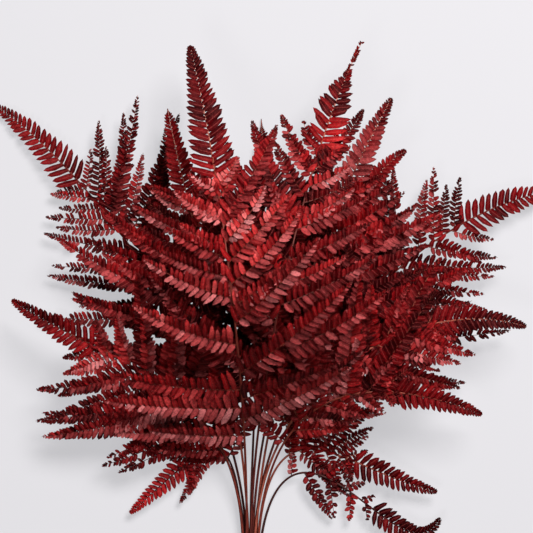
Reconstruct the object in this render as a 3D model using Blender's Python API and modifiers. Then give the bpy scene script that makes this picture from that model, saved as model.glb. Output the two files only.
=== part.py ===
"""A bunch of fifteen dried fern fronds, tied at the stems and lying on a flat surface.

Units are metres. +Z is up, +Y runs from the tie to the frond tips, and +X is to the right
as seen from above. The origin is on the surface, under the middle of the tie.

Every frond follows its own layer of one nested dome: layer 0 lies on the surface and
layer 12 arches over the rest, so the fronds cross in plan and never touch in height.
"""

import math
from collections import namedtuple

import bmesh
import bpy
import numpy as np

# Stems and tie. Lengths are in metres.
STEM_RADIUS = 0.00155
RACHIS_RADIUS = 0.00085
RACHIS_THINNING = 0.5
STEM_TOLERANCE = 0.0009
STEM_PITCH = 0.0035
ROW_PITCH = 0.00306
ROW_SHIFT = 0.25
CUT_LENGTH = 0.095
CUT_UNEVEN = 0.008
FOOT_SPLAY = (1.7, 1.2)
FOOT_LIFT = 0.0012
TIE_WALL = 0.0018
TIE_WIDTH = 0.010
TIE_SIDES = 36
STRAIGHT = 0.012
STEM_UPRIGHT = 0.080
GAP = 0.0003

# The dome that the layers share
BUNCH_HEIGHT = 0.180
DOME_CENTRE = (0.015, 0.290)
DOME_REACH = (0.334, 0.299)
RISE_LENGTH = 0.160
RISE_POWER = 1.6
EDGE_SHARE = 0.28
BLEND_LENGTH = 0.140
RIPPLE = 0.009
RIPPLE_SPAN = (0.043, 0.052)
RIPPLE_CENTRE = 0.300
FIRST_LAYER_HEIGHT = 0.0002
FREEDOM_SHARE = 0.42
FREEDOM_MARGIN = 0.0009

# Pinnae: the first pair is a little shorter than the longest, and the last are the shortest
SHORTENING = 0.80
SHORTENING_POWER = 1.25
FIRST_PINNA = 0.62
FIRST_PINNA_SPAN = 0.16
STAGGER = 0.38
CROWDING = 1.40
LAST_SPREAD = math.radians(50)
PINNA_WIDTH_BASE = 0.0125
PINNA_WIDTH_GROWTH = 0.145
PETIOLE = 0.006
FEATHER_SLOPE = 0.17
FEATHER_POWER = 0.62
FEATHER_PETIOLE = 0.008
PLACE_UNEVEN = 0.06
LENGTH_UNEVEN = 0.06
OPENING_UNEVEN = 0.07
BEND_UNEVEN = 9.0

# Leaflets
BLADE_THICKNESS = 0.0008
RIB_HALF_WIDTH = 0.0011
ROOT_HALF_WIDTH = 0.0005
ROOT_INSET = 0.0004
BLUNT_FROM = 0.120
LEAST_REACH = 0.0020
BLUNT_PITCH = 0.045
POINTED_PITCH = 0.032
LAST_NOTCH = 0.965
WEB_SHARE = 0.22
LEAFLET_SLANT = math.radians(26)
BLUNT_TIP = ((0.98, -0.30), (0.90, 0.30))
POINTED_TIP = ((1.0, 0.08),)
SEED = 44

# lean and sway are the last two control points before the tip of the stem's curve in plan.
# bare is the length of stem below the first pinna. feather is the length at the tip that
# carries leaflets and no pinnae. reach is the length of the longest pinna to the left and to
# the right, and spread is the angle in degrees between the lowest pinnae and the rachis.
# bend is the angle in degrees that a pinna curves through. spindle is the share of the
# feather, at its tip, where the leaflets shrink to nothing. Layer 0 is the lowest.
Frond = namedtuple(
    "Frond", "name layer lean sway tip bare feather pairs reach spread bend spindle",
    defaults=(0.04,),
)
FRONDS = (
    Frond("frond_back_middle", 0, (0.001, 0.200), (0.020, 0.330), (0.010, 0.460),
          0.225, 0.085, 5, (0.140, 0.180), (70, 62), 20, 0.22),
    Frond("frond_upper_left", 1, (-0.008, 0.190), (-0.150, 0.400), (-0.262, 0.473),
          0.215, 0.120, 6, (0.160, 0.180), (62, 68), 12),
    Frond("frond_upper_right", 2, (0.008, 0.200), (0.170, 0.375), (0.318, 0.386),
          0.195, 0.115, 6, (0.185, 0.190), (75, 62), 8),
    Frond("frond_drooping_left", 3, (-0.022, 0.160), (-0.034, 0.138), (-0.124, 0.057),
          0.115, 0.080, 3, (0.090, 0.130), (55, 60), 0),
    Frond("frond_low_right", 3, (0.027, 0.190), (0.090, 0.100), (0.190, 0.080),
          0.125, 0.095, 3, (0.090, 0.080), (50, 60), 0),
    Frond("frond_drooping_right", 4, (0.050, 0.215), (0.150, -0.030), (0.192, 0.055),
          0.105, 0.085, 4, (0.040, 0.060), (60, 70), 0),
    Frond("frond_back_left", 5, (-0.008, 0.200), (-0.060, 0.345), (-0.084, 0.468),
          0.200, 0.095, 6, (0.170, 0.135), (75, 75), 20, 0.10),
    Frond("frond_lower_left", 6, (-0.020, 0.190), (-0.095, 0.155), (-0.202, 0.138),
          0.125, 0.090, 3, (0.130, 0.145), (60, 60), 10),
    Frond("frond_inner_right", 6, (0.012, 0.200), (0.085, 0.385), (0.156, 0.425),
          0.215, 0.095, 5, (0.120, 0.160), (70, 75), 15),
    Frond("frond_back_right", 7, (0.009, 0.190), (0.060, 0.330), (0.141, 0.478),
          0.190, 0.100, 6, (0.130, 0.185), (70, 70), 20),
    Frond("frond_left", 8, (-0.014, 0.200), (-0.135, 0.205), (-0.240, 0.276),
          0.150, 0.100, 5, (0.180, 0.120), (65, 75), 10),
    Frond("frond_right", 9, (0.013, 0.210), (0.165, 0.285), (0.276, 0.248),
          0.155, 0.100, 6, (0.125, 0.110), (75, 60), 10),
    Frond("frond_lower_right", 10, (0.023, 0.200), (0.110, 0.210), (0.232, 0.160),
          0.135, 0.095, 4, (0.130, 0.065), (70, 50), 5),
    Frond("frond_tall_right", 11, (0.004, 0.200), (0.045, 0.400), (0.111, 0.533),
          0.150, 0.122, 7, (0.165, 0.150), (75, 70), 20, 0.34),
    Frond("frond_front", 12, (-0.004, 0.200), (-0.018, 0.350), (-0.061, 0.530),
          0.140, 0.140, 7, (0.145, 0.160), (92, 70), 15),
)
LAST_LAYER = max(frond.layer for frond in FRONDS)

# Places in the tie, row by row from the surface up, each row from left to right.
ROWS = (
    ("frond_drooping_left", "frond_upper_left", "frond_back_middle", "frond_upper_right",
     "frond_low_right"),
    ("frond_lower_left", "frond_back_left", "frond_back_right", "frond_inner_right",
     "frond_drooping_right"),
    ("frond_left", "frond_front", "frond_tall_right", "frond_right", "frond_lower_right"),
)


def clear_scene():
    for item in list(bpy.data.objects):
        bpy.data.objects.remove(item, do_unlink=True)


def new_collection(name):
    made = bpy.data.collections.new(name)
    bpy.context.scene.collection.children.link(made)
    return made


def new_material(name, colour, roughness):
    material = bpy.data.materials.new(name)
    material.use_nodes = True
    shader = material.node_tree.nodes["Principled BSDF"]
    shader.inputs["Base Color"].default_value = (*colour, 1.0)
    shader.inputs["Roughness"].default_value = roughness
    shader.inputs["Metallic"].default_value = 0.0
    return material


def eased(share):
    """0 to 1 with level ends, for a share that is first held between 0 and 1."""
    held = np.clip(share, 0.0, 1.0)
    return held * held * (3.0 - 2.0 * held)


# The nested layers

def dome_height(x, y):
    """Height of the top layer over the bottom one: it rises away from the tie and falls
    off towards the edges of the bunch."""
    past_tie = np.maximum(np.hypot(x, y) - STRAIGHT, 0.0)
    rise = 1.0 - np.exp(-((past_tie / RISE_LENGTH) ** RISE_POWER))
    outward = np.hypot(
        (x - DOME_CENTRE[0]) / DOME_REACH[0], (y - DOME_CENTRE[1]) / DOME_REACH[1]
    )
    return BUNCH_HEIGHT * rise * (1.0 - (1.0 - EDGE_SHARE) * eased(outward))


def ripple_height(x, y):
    """A slow wave that all layers share, with its lowest places on the surface."""
    wave = np.cos(x / RIPPLE_SPAN[0]) * np.cos((y - RIPPLE_CENTRE) / RIPPLE_SPAN[1])
    return RIPPLE * (0.5 + 0.5 * wave)


def row_height(row):
    return TIE_WALL + GAP + STEM_RADIUS + row * ROW_PITCH


def layer_height(frond, x, y):
    """Height of a frond's middle surface, blended from its stem's place in the tie."""
    away = eased((np.hypot(x, y) - STRAIGHT) / BLEND_LENGTH)
    open_height = FIRST_LAYER_HEIGHT + freedom(x, y) + ripple_height(x, y)
    foot = row_height(tie_place(frond.name)[0]) * (1.0 - away) + open_height * away
    return foot + dome_height(x, y) * frond.layer / LAST_LAYER


def freedom(x, y):
    """How far a leaflet may leave its layer and still stay clear of the next one."""
    return np.maximum(FREEDOM_SHARE * dome_height(x, y) / LAST_LAYER - FREEDOM_MARGIN, 0.0)


# Paths in plan

Path = namedtuple("Path", "points along")


def path_of(points):
    steps = np.hypot(*np.diff(points, axis=0).T)
    return Path(points, np.concatenate([[0.0], np.cumsum(steps)]))


def point_at(path, distance):
    return np.stack(
        [np.interp(distance, path.along, path.points[:, i]) for i in range(2)], axis=-1
    )


def heading_at(path, distance):
    step = 0.002
    ahead = point_at(path, np.minimum(distance + step, path.along[-1]))
    behind = point_at(path, np.maximum(distance - step, 0.0))
    run = ahead - behind
    return run / np.linalg.norm(run, axis=-1, keepdims=True)


def tie_place(name):
    """Row of a frond's stem in the tie, and its sideways place there. The rows are shifted
    in turn, so that the stems of one lie over the gaps of the next."""
    for row, names in enumerate(ROWS):
        if name in names:
            middle = (len(names) - 1) / 2 + ROW_SHIFT * (-1) ** row
            return row, (names.index(name) - middle) * STEM_PITCH
    raise ValueError(name)


def rachis_path(frond):
    """Smooth curve from the tie to the frond's tip, seen from above. It leaves the tie
    straight along +Y."""
    place = tie_place(frond.name)[1]
    corners = np.array([(place, 0.0), (place, STEM_UPRIGHT), frond.lean, frond.sway, frond.tip])
    t = np.linspace(0.0, 1.0, 121)
    weights = [math.comb(4, i) * t**i * (1 - t) ** (4 - i) for i in range(5)]
    return path_of(np.stack(weights, axis=1) @ corners)


def pinna_path(root, angle, length, bend):
    """An arc of the given length that leaves the rachis at an angle and bends evenly."""
    distance = np.linspace(0.0, length, 41)
    heading = angle + bend * distance / length
    steps = np.stack([np.cos(heading), np.sin(heading)], axis=1) * (length / 40)
    middle = (steps[1:] + steps[:-1]) / 2
    return path_of(root + np.vstack([[0.0, 0.0], np.cumsum(middle, axis=0)]))


# Pinnae

Pinna = namedtuple("Pinna", "path width tilt twist fold arch petiole spindle")


def pinna_width(length):
    return PINNA_WIDTH_BASE + PINNA_WIDTH_GROWTH * length


def half_width(pinna, t):
    """Half width along a pinna. A side pinna is full early and then runs to a point. The
    feather narrows all the way, and its leaflets shrink to nothing over its spindle."""
    if pinna.spindle == 0.0:
        return 0.5 * pinna.width * np.minimum(1.0, 0.74 + 1.5 * t) * (1.0 - t**2.4) ** 0.8
    left = np.clip(1.0 - t, 0.0, 1.0)
    shrunk = np.minimum(1.0, (left / pinna.spindle) ** 2)
    return 0.5 * pinna.width * left**FEATHER_POWER * shrunk


def pinnae_of(frond):
    """The side pinnae of a frond and the feather at its tip, with seeded differences."""
    source = np.random.default_rng(SEED + FRONDS.index(frond))
    draws = source.uniform(-1.0, 1.0, (frond.pairs + 1, 2, 7))
    rachis = rachis_path(frond)
    total = rachis.along[-1]
    zone = total - frond.feather - frond.bare
    made = []
    for pair in range(frond.pairs):
        for side in (0, 1):
            near, far, turn, tilt, twist, arch, curl = draws[pair, side]
            share = (pair + STAGGER * side + PLACE_UNEVEN * near) / frond.pairs
            share = 1.0 - (1.0 - max(share, 0.0)) ** CROWDING
            distance = frond.bare + zone * share
            first = FIRST_PINNA + (1.0 - FIRST_PINNA) * eased(share / FIRST_PINNA_SPAN)
            taper = first * (1.0 - SHORTENING * share**SHORTENING_POWER)
            length = frond.reach[side] * taper * (1.0 + LENGTH_UNEVEN * far)
            ahead = heading_at(rachis, distance)
            sign = 1.0 if side == 0 else -1.0
            low = math.radians(frond.spread[side])
            opening = low + (LAST_SPREAD - low) * share + OPENING_UNEVEN * turn
            angle = math.atan2(ahead[1], ahead[0]) + sign * opening
            bend = -sign * math.radians(frond.bend + BEND_UNEVEN * curl)
            path = pinna_path(point_at(rachis, distance), angle, length, bend)
            made.append(
                Pinna(path, pinna_width(length), 0.5 * sign * abs(tilt) - 0.4 * sign,
                      0.45 * twist, 0.5, arch, PETIOLE, 0.0)
            )
    start = total - frond.feather
    distances = np.linspace(start, total, 41)
    tilt, twist, arch = draws[frond.pairs, 0, :3]
    made.append(
        Pinna(path_of(point_at(rachis, distances)), 2.0 * FEATHER_SLOPE * frond.feather,
              0.3 * tilt, 0.3 * twist, 0.6, arch, FEATHER_PETIOLE, frond.spindle)
    )
    return made


def lift_share(pinna, t, across):
    """Height of a point on a pinna, from -1 to 1 of its freedom. It is level at the
    root, tilted and twisted about the rib, folded along it and arched along its length."""
    tilt = np.clip(pinna.tilt + pinna.twist * t, -1.0, 1.0)
    curve = 0.55 * tilt * across + 0.25 * pinna.fold * np.abs(across)
    return eased(t / 0.14) * (curve + 0.20 * pinna.arch * np.sin(2.4 * t))


def on_layer(pinna, frond, distance, sideways, forward):
    """Points of a pinna in space, from distance along the rib and offsets from it."""
    length = pinna.path.along[-1]
    ahead = heading_at(pinna.path, distance)
    left = np.stack([-ahead[:, 1], ahead[:, 0]], axis=1)
    plan = point_at(pinna.path, distance) + left * sideways[:, None] + ahead * forward[:, None]
    x, y = plan.T
    share = lift_share(pinna, (distance + forward) / length, 2.0 * sideways / pinna.width)
    return np.column_stack([x, y, layer_height(frond, x, y) + freedom(x, y) * share])


def blade_sheet(pinna, frond):
    """One pinna as an open sheet: a narrow web along the rib, with a leaflet on each side
    of every stretch of it. Leaflets are blunt on long pinnae and pointed on short ones.
    Returns points and triangles."""
    length = pinna.path.along[-1]
    blunt = length > BLUNT_FROM
    pitch = BLUNT_PITCH if blunt else POINTED_PITCH
    count = max(3, round((length - pinna.petiole) / pitch))
    notches = pinna.petiole + (length - pinna.petiole) * np.linspace(0.0, LAST_NOTCH, count + 1)
    middles = (notches[1:] + notches[:-1]) / 2
    pitch = notches[1] - notches[0]
    reach = np.maximum(half_width(pinna, middles / length), LEAST_REACH)
    slide = reach * math.tan(LEAFLET_SLANT)
    web = np.maximum(RIB_HALF_WIDTH, WEB_SHARE * half_width(pinna, notches / length))
    web[[0, -1]] = RIB_HALF_WIDTH
    tips = BLUNT_TIP if blunt else POINTED_TIP

    root = np.array([-ROOT_INSET])
    places = [(root, np.array([side * ROOT_HALF_WIDTH]), np.zeros(1)) for side in (1, -1)]
    for side in (1, -1):
        places.append((notches, side * web, np.zeros(count + 1)))
    for side in (1, -1):
        for share, ahead in tips:
            places.append((middles, side * reach * share, slide + ahead * pitch))
    places.append((np.array([length]), np.zeros(1), np.zeros(1)))
    points = np.vstack([on_layer(pinna, frond, *place) for place in places])

    left, right = 2, 3 + count
    outer = right + count + 1
    far_side = len(tips) * count
    triangles = [(0, 1, right), (0, right, left)]
    for i in range(count):
        a, b = left + i, right + i
        triangles += [(a, b, b + 1), (a, b + 1, a + 1)]
        p = outer + i
        if blunt:
            triangles += [(p, a, a + 1), (p, a + 1, p + count)]
            triangles += [(b, p + far_side, b + 1), (b + 1, p + far_side, p + far_side + count)]
        else:
            triangles += [(p, a, a + 1), (p + far_side, b + 1, b)]
    triangles.append((left + count, right + count, len(points) - 1))
    return points, triangles


def sheet_object(name, points, triangles, collection):
    """An open sheet that Solidify turns into a thin closed blade."""
    mesh = bpy.data.meshes.new(name)
    mesh.from_pydata(points.tolist(), [], triangles)
    mesh.update()
    made = bpy.data.objects.new(name, mesh)
    collection.objects.link(made)
    wall = made.modifiers.new("thickness", "SOLIDIFY")
    wall.thickness = BLADE_THICKNESS
    wall.offset = 0.0
    wall.use_even_offset = False
    return made


# Stems

def few_places(line, first, last):
    """Indices of the points that a line needs to stay within STEM_TOLERANCE of itself."""
    run = line[last] - line[first]
    off = line[first:last + 1] - line[first]
    beside = off - np.outer(off @ run / (run @ run), run)
    gaps = np.linalg.norm(beside, axis=1)
    worst = first + int(np.argmax(gaps))
    if gaps.max() < STEM_TOLERANCE or last - first < 2:
        return [first]
    return few_places(line, first, worst) + few_places(line, worst, last)


def stem_points(frond):
    """The stem's middle line in space, from its cut end to the feather, with its radii."""
    row, place = tie_place(frond.name)
    rachis = rachis_path(frond)
    stations = np.linspace(STRAIGHT, rachis.along[-1] - frond.feather + 0.012, 101)
    x, y = point_at(rachis, stations).T
    blade = np.column_stack([x, y, layer_height(frond, x, y)])
    kept = few_places(blade, 0, 100) + [100]
    stations, blade = stations[kept], blade[kept]
    cut = CUT_LENGTH + CUT_UNEVEN * math.cos(2.4 * FRONDS.index(frond))
    z = row_height(row)
    foot = np.array([
        (place * FOOT_SPLAY[0], -cut, z + (row - 1) * FOOT_LIFT),
        (place * FOOT_SPLAY[1], -cut * 0.5, z + row * FOOT_LIFT / 3),
        (place, -STRAIGHT, z),
    ])
    along = (stations - stations[0]) / (stations[-1] - stations[0])
    radii = STEM_RADIUS + (RACHIS_RADIUS - STEM_RADIUS) * along**RACHIS_THINNING
    return np.vstack([foot, blade]), np.concatenate([[STEM_RADIUS] * 3, radii])


def tube_object(name, points, radii, material, collection):
    """A six-sided tube along the points, made a mesh with its caps welded on."""
    curve = bpy.data.curves.new(name, "CURVE")
    curve.dimensions = "3D"
    curve.bevel_depth = 1.0
    curve.bevel_resolution = 1
    curve.use_fill_caps = True
    spline = curve.splines.new("POLY")
    spline.points.add(len(points) - 1)
    spline.points.foreach_set("co", np.column_stack([points, np.ones(len(points))]).ravel())
    spline.points.foreach_set("radius", radii)
    guide = bpy.data.objects.new(name + "_guide", curve)
    collection.objects.link(guide)
    evaluated = guide.evaluated_get(bpy.context.evaluated_depsgraph_get())
    mesh = bpy.data.meshes.new_from_object(evaluated)
    mesh.name = name
    bpy.data.objects.remove(guide, do_unlink=True)
    shell = bmesh.new()
    shell.from_mesh(mesh)
    bmesh.ops.remove_doubles(shell, verts=shell.verts, dist=0.00001)
    bmesh.ops.recalc_face_normals(shell, faces=shell.faces)
    shell.to_mesh(mesh)
    shell.free()
    mesh.materials.clear()
    mesh.materials.append(material)
    made = bpy.data.objects.new(name, mesh)
    collection.objects.link(made)
    return made


def keep_outer_skin(mesh):
    """Keep the largest connected skin, which fills a hollow that the union has sealed."""
    shell = bmesh.new()
    shell.from_mesh(mesh)
    waiting = set(shell.faces)
    skins = []
    while waiting:
        edge_of_search = [waiting.pop()]
        skin = []
        while edge_of_search:
            face = edge_of_search.pop()
            skin.append(face)
            for edge in face.edges:
                for near in edge.link_faces:
                    if near in waiting:
                        waiting.discard(near)
                        edge_of_search.append(near)
        skins.append(skin)
    skins.sort(key=len)
    inner = [face for skin in skins[:-1] for face in skin]
    bmesh.ops.delete(shell, geom=inner, context="FACES")
    shell.to_mesh(mesh)
    shell.free()


def fuse(body, pieces):
    """Join the pieces of a collection to the body in one union, then remove them."""
    union = body.modifiers.new("union", "BOOLEAN")
    union.operation = "UNION"
    union.operand_type = "COLLECTION"
    union.collection = pieces
    union.solver = "EXACT"
    evaluated = body.evaluated_get(bpy.context.evaluated_depsgraph_get())
    mesh = bpy.data.meshes.new_from_object(evaluated)
    keep_outer_skin(mesh)
    body.modifiers.clear()
    body.data = mesh
    for item in list(pieces.objects):
        bpy.data.objects.remove(item, do_unlink=True)
    bpy.data.collections.remove(pieces)


def make_frond(frond, material, collection):
    points, radii = stem_points(frond)
    body = tube_object(frond.name, points, radii, material, collection)
    pieces = new_collection(frond.name + "_pinnae")
    for number, pinna in enumerate(pinnae_of(frond)):
        sheet_object(f"{frond.name}_pinna_{number}", *blade_sheet(pinna, frond), pieces)
    fuse(body, pieces)
    return body


# Tie

def make_tie(material, collection):
    """A band drawn tight round the stems: its inside is the outline round all of them,
    flat underneath, where it rests on the surface."""
    centres = np.array([
        (tie_place(name)[1], row_height(row)) for row, names in enumerate(ROWS) for name in names
    ])
    turn = (np.arange(TIE_SIDES) + 0.5) * 2.0 * math.pi / TIE_SIDES - math.pi / 2
    out = np.stack([np.cos(turn), np.sin(turn)], axis=1)
    inside = centres[np.argmax(out @ centres.T, axis=1)] + out * (STEM_RADIUS + GAP)
    inside[0, 1] = inside[-1, 1] = TIE_WALL
    count = len(turn)
    rings = [
        np.column_stack([ring[:, 0], np.full(count, y), ring[:, 1]])
        for y in (-TIE_WIDTH / 2, TIE_WIDTH / 2)
        for ring in (inside, inside + out * TIE_WALL)
    ]
    rings[1][[0, -1], 2] = rings[3][[0, -1], 2] = 0.0
    points = np.vstack(rings)
    faces = []
    for i in range(count):
        j = (i + 1) % count
        for a, b in ((0, 1), (1, 3), (3, 2), (2, 0)):
            faces.append((a * count + i, a * count + j, b * count + j, b * count + i))
    mesh = bpy.data.meshes.new("tie")
    mesh.from_pydata(points.tolist(), [], faces)
    shell = bmesh.new()
    shell.from_mesh(mesh)
    bmesh.ops.recalc_face_normals(shell, faces=shell.faces)
    shell.to_mesh(mesh)
    shell.free()
    mesh.materials.append(material)
    made = bpy.data.objects.new("tie", mesh)
    collection.objects.link(made)
    return made


def main():
    clear_scene()
    bunch = new_collection("fern_bunch")
    leaf = new_material("dyed_fern", (0.13, 0.012, 0.011), 0.55)
    twine = new_material("tie_twine", (0.30, 0.20, 0.11), 0.85)
    make_tie(twine, bunch)
    for frond in FRONDS:
        make_frond(frond, leaf, bunch)


main()
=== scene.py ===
# %% [markdown]
# # A bunch of dried fern fronds
# The bunch lies on a pale floor and the camera looks straight down on it. Its fronds come
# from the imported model, where each leaflet is broad and plain. Here every frond is dressed
# again with its real number of leaflets, round stems, and dyed, dried leaf colour.

import math
from collections import namedtuple

import bpy
import numpy as np
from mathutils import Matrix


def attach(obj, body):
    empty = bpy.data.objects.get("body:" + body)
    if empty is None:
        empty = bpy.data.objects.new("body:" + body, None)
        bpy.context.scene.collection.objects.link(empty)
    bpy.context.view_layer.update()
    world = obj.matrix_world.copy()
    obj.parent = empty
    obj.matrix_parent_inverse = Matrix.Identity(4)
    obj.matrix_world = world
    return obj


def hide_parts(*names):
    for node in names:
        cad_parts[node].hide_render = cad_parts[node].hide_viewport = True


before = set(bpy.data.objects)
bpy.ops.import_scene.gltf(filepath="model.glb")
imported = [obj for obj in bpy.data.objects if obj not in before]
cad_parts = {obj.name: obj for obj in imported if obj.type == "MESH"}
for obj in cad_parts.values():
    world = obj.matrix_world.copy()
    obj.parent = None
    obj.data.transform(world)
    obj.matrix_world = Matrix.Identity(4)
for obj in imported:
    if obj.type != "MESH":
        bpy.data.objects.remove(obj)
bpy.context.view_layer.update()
print("packed nodes:", len(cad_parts))

# %% [markdown]
# ## The shared rule for the layers
# A real bunch is a heap of thin fronds that lie on one another. Modelled by hand, they would
# cut through each other. So every frond has its own layer of one nested dome: the layers
# part as they leave the tie, and never meet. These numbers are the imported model's own.

# %% Sizes of stems, dome and pinnae, in metres
STEM_RADIUS = 0.00155
RACHIS_RADIUS = 0.00085
RACHIS_THINNING = 0.5
STEM_PITCH = 0.0035
ROW_PITCH = 0.00306
ROW_SHIFT = 0.25
CUT_LENGTH = 0.095
CUT_UNEVEN = 0.008
FOOT_SPLAY = (1.7, 1.2)
FOOT_LIFT = 0.0012
TIE_WALL = 0.0018
TIE_WIDTH = 0.010
STRAIGHT = 0.012
STEM_UPRIGHT = 0.080
GAP = 0.0003

BUNCH_HEIGHT = 0.180
DOME_CENTRE = (0.015, 0.290)
DOME_REACH = (0.334, 0.299)
RISE_LENGTH = 0.160
RISE_POWER = 1.6
EDGE_SHARE = 0.28
BLEND_LENGTH = 0.140
RIPPLE = 0.009
RIPPLE_SPAN = (0.043, 0.052)
RIPPLE_CENTRE = 0.300
FIRST_LAYER_HEIGHT = 0.0002
FREEDOM_SHARE = 0.42
FREEDOM_MARGIN = 0.0009
DEEP_CORE = 0.25
DEEP_RIM = 0.60

SHORTENING = 0.80
SHORTENING_POWER = 1.25
FIRST_PINNA = 0.62
FIRST_PINNA_SPAN = 0.16
STAGGER = 0.38
CROWDING = 1.40
LAST_SPREAD = math.radians(50)
PINNA_WIDTH_BASE = 0.0125
PINNA_WIDTH_GROWTH = 0.145
FEATHER_SLOPE = 0.17
SEED = 44

# %% The fronds, from the lowest layer to the highest
Frond = namedtuple(
    "Frond", "name layer lean sway tip bare feather pairs reach spread bend spindle",
    defaults=(0.04,),
)
FRONDS = (
    Frond("frond_back_middle", 0, (0.001, 0.200), (0.020, 0.330), (0.010, 0.460),
          0.225, 0.085, 5, (0.140, 0.180), (70, 62), 20, 0.22),
    Frond("frond_upper_left", 1, (-0.008, 0.190), (-0.150, 0.400), (-0.262, 0.473),
          0.215, 0.120, 6, (0.160, 0.180), (62, 68), 12),
    Frond("frond_upper_right", 2, (0.008, 0.200), (0.170, 0.375), (0.318, 0.386),
          0.195, 0.115, 6, (0.185, 0.190), (75, 62), 8),
    Frond("frond_drooping_left", 3, (-0.022, 0.160), (-0.034, 0.138), (-0.124, 0.057),
          0.115, 0.080, 3, (0.090, 0.130), (55, 60), 0),
    Frond("frond_low_right", 3, (0.027, 0.190), (0.090, 0.100), (0.190, 0.080),
          0.125, 0.095, 3, (0.090, 0.080), (50, 60), 0),
    Frond("frond_drooping_right", 4, (0.050, 0.215), (0.150, -0.030), (0.192, 0.055),
          0.105, 0.085, 4, (0.040, 0.060), (60, 70), 0),
    Frond("frond_back_left", 5, (-0.008, 0.200), (-0.060, 0.345), (-0.084, 0.468),
          0.200, 0.095, 6, (0.170, 0.135), (75, 75), 20, 0.10),
    Frond("frond_lower_left", 6, (-0.020, 0.190), (-0.095, 0.155), (-0.202, 0.138),
          0.125, 0.090, 3, (0.130, 0.145), (60, 60), 10),
    Frond("frond_inner_right", 6, (0.012, 0.200), (0.085, 0.385), (0.156, 0.425),
          0.215, 0.095, 5, (0.120, 0.160), (70, 75), 15),
    Frond("frond_back_right", 7, (0.009, 0.190), (0.060, 0.330), (0.141, 0.478),
          0.190, 0.100, 6, (0.130, 0.185), (70, 70), 20),
    Frond("frond_left", 8, (-0.014, 0.200), (-0.135, 0.205), (-0.240, 0.276),
          0.150, 0.100, 5, (0.180, 0.120), (65, 75), 10),
    Frond("frond_right", 9, (0.013, 0.210), (0.165, 0.285), (0.276, 0.248),
          0.155, 0.100, 6, (0.125, 0.110), (75, 60), 10),
    Frond("frond_lower_right", 10, (0.023, 0.200), (0.110, 0.210), (0.232, 0.160),
          0.135, 0.095, 4, (0.130, 0.065), (70, 50), 5),
    Frond("frond_tall_right", 11, (0.004, 0.200), (0.045, 0.400), (0.111, 0.533),
          0.150, 0.122, 7, (0.165, 0.150), (75, 70), 20, 0.34),
    Frond("frond_front", 12, (-0.004, 0.200), (-0.018, 0.350), (-0.061, 0.530),
          0.140, 0.140, 7, (0.145, 0.160), (92, 70), 15),
)
LAST_LAYER = max(frond.layer for frond in FRONDS)
ROWS = (
    ("frond_drooping_left", "frond_upper_left", "frond_back_middle", "frond_upper_right",
     "frond_low_right"),
    ("frond_lower_left", "frond_back_left", "frond_back_right", "frond_inner_right",
     "frond_drooping_right"),
    ("frond_left", "frond_front", "frond_tall_right", "frond_right", "frond_lower_right"),
)
print("fronds:", len(FRONDS))


# %% Heights of the layers
def eased(share):
    """3s^2 - 2s^3 for a share s held between 0 and 1: level at both ends."""
    held = np.clip(share, 0.0, 1.0)
    return held * held * (3.0 - 2.0 * held)


def outward(x, y):
    """Distance from the dome's centre as a share of its reach: an ellipse at each value."""
    return np.hypot((x - DOME_CENTRE[0]) / DOME_REACH[0], (y - DOME_CENTRE[1]) / DOME_REACH[1])


def dome_height(x, y):
    """Top layer over bottom layer: an exponential rise away from the tie, times a fall
    that is 1 over the dome's centre and EDGE_SHARE beyond its reach."""
    past_tie = np.maximum(np.hypot(x, y) - STRAIGHT, 0.0)
    rise = 1.0 - np.exp(-((past_tie / RISE_LENGTH) ** RISE_POWER))
    return BUNCH_HEIGHT * rise * (1.0 - (1.0 - EDGE_SHARE) * eased(outward(x, y)))


def ripple_height(x, y):
    """A product of two cosines, moved up to run from 0 to RIPPLE."""
    wave = np.cos(x / RIPPLE_SPAN[0]) * np.cos((y - RIPPLE_CENTRE) / RIPPLE_SPAN[1])
    return RIPPLE * (0.5 + 0.5 * wave)


def row_height(row):
    """Middle height of the stems in one row of the tie."""
    return TIE_WALL + GAP + STEM_RADIUS + row * ROW_PITCH


def freedom(x, y):
    """How far a leaflet may leave its layer: a share of the distance between layers."""
    return np.maximum(FREEDOM_SHARE * dome_height(x, y) / LAST_LAYER - FREEDOM_MARGIN, 0.0)


def tie_place(name):
    """Row of a frond's stem in the tie, and its sideways place there. The rows are shifted
    in turn, so that the stems of one lie over the gaps of the next."""
    for row, names in enumerate(ROWS):
        if name in names:
            middle = (len(names) - 1) / 2 + ROW_SHIFT * (-1) ** row
            return row, (names.index(name) - middle) * STEM_PITCH
    raise ValueError(name)


def layer_height(frond, x, y):
    """Height in the tie blended to the rippled ground, plus the frond's part of the dome."""
    away = eased((np.hypot(x, y) - STRAIGHT) / BLEND_LENGTH)
    ground = FIRST_LAYER_HEIGHT + freedom(x, y) + ripple_height(x, y)
    foot = row_height(tie_place(frond.name)[0]) * (1.0 - away) + ground * away
    return foot + dome_height(x, y) * frond.layer / LAST_LAYER


def covered_share(x, y):
    """How much of the heap lies over a place: 1 in its core, 0 from DEEP_RIM outwards."""
    return 1.0 - eased((outward(x, y) - DEEP_CORE) / (DEEP_RIM - DEEP_CORE))


print("top of the dome:", round(float(dome_height(*DOME_CENTRE)), 3))

# %% [markdown]
# ## Paths seen from above
# A frond grows as a curve, and its side branches, the pinnae, leave it on curves of their
# own. Each path is a table of points with the distance travelled at each one, so a place on
# it is found by looking up a distance.

# %% Curves of stems and pinnae
Path = namedtuple("Path", "points along")


def path_of(points):
    steps = np.hypot(*np.diff(points, axis=0).T)
    return Path(points, np.concatenate([[0.0], np.cumsum(steps)]))


def point_at(path, distance):
    """Point of the path at each distance, by linear interpolation."""
    return np.stack(
        [np.interp(distance, path.along, path.points[:, i]) for i in range(2)], axis=-1
    )


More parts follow.
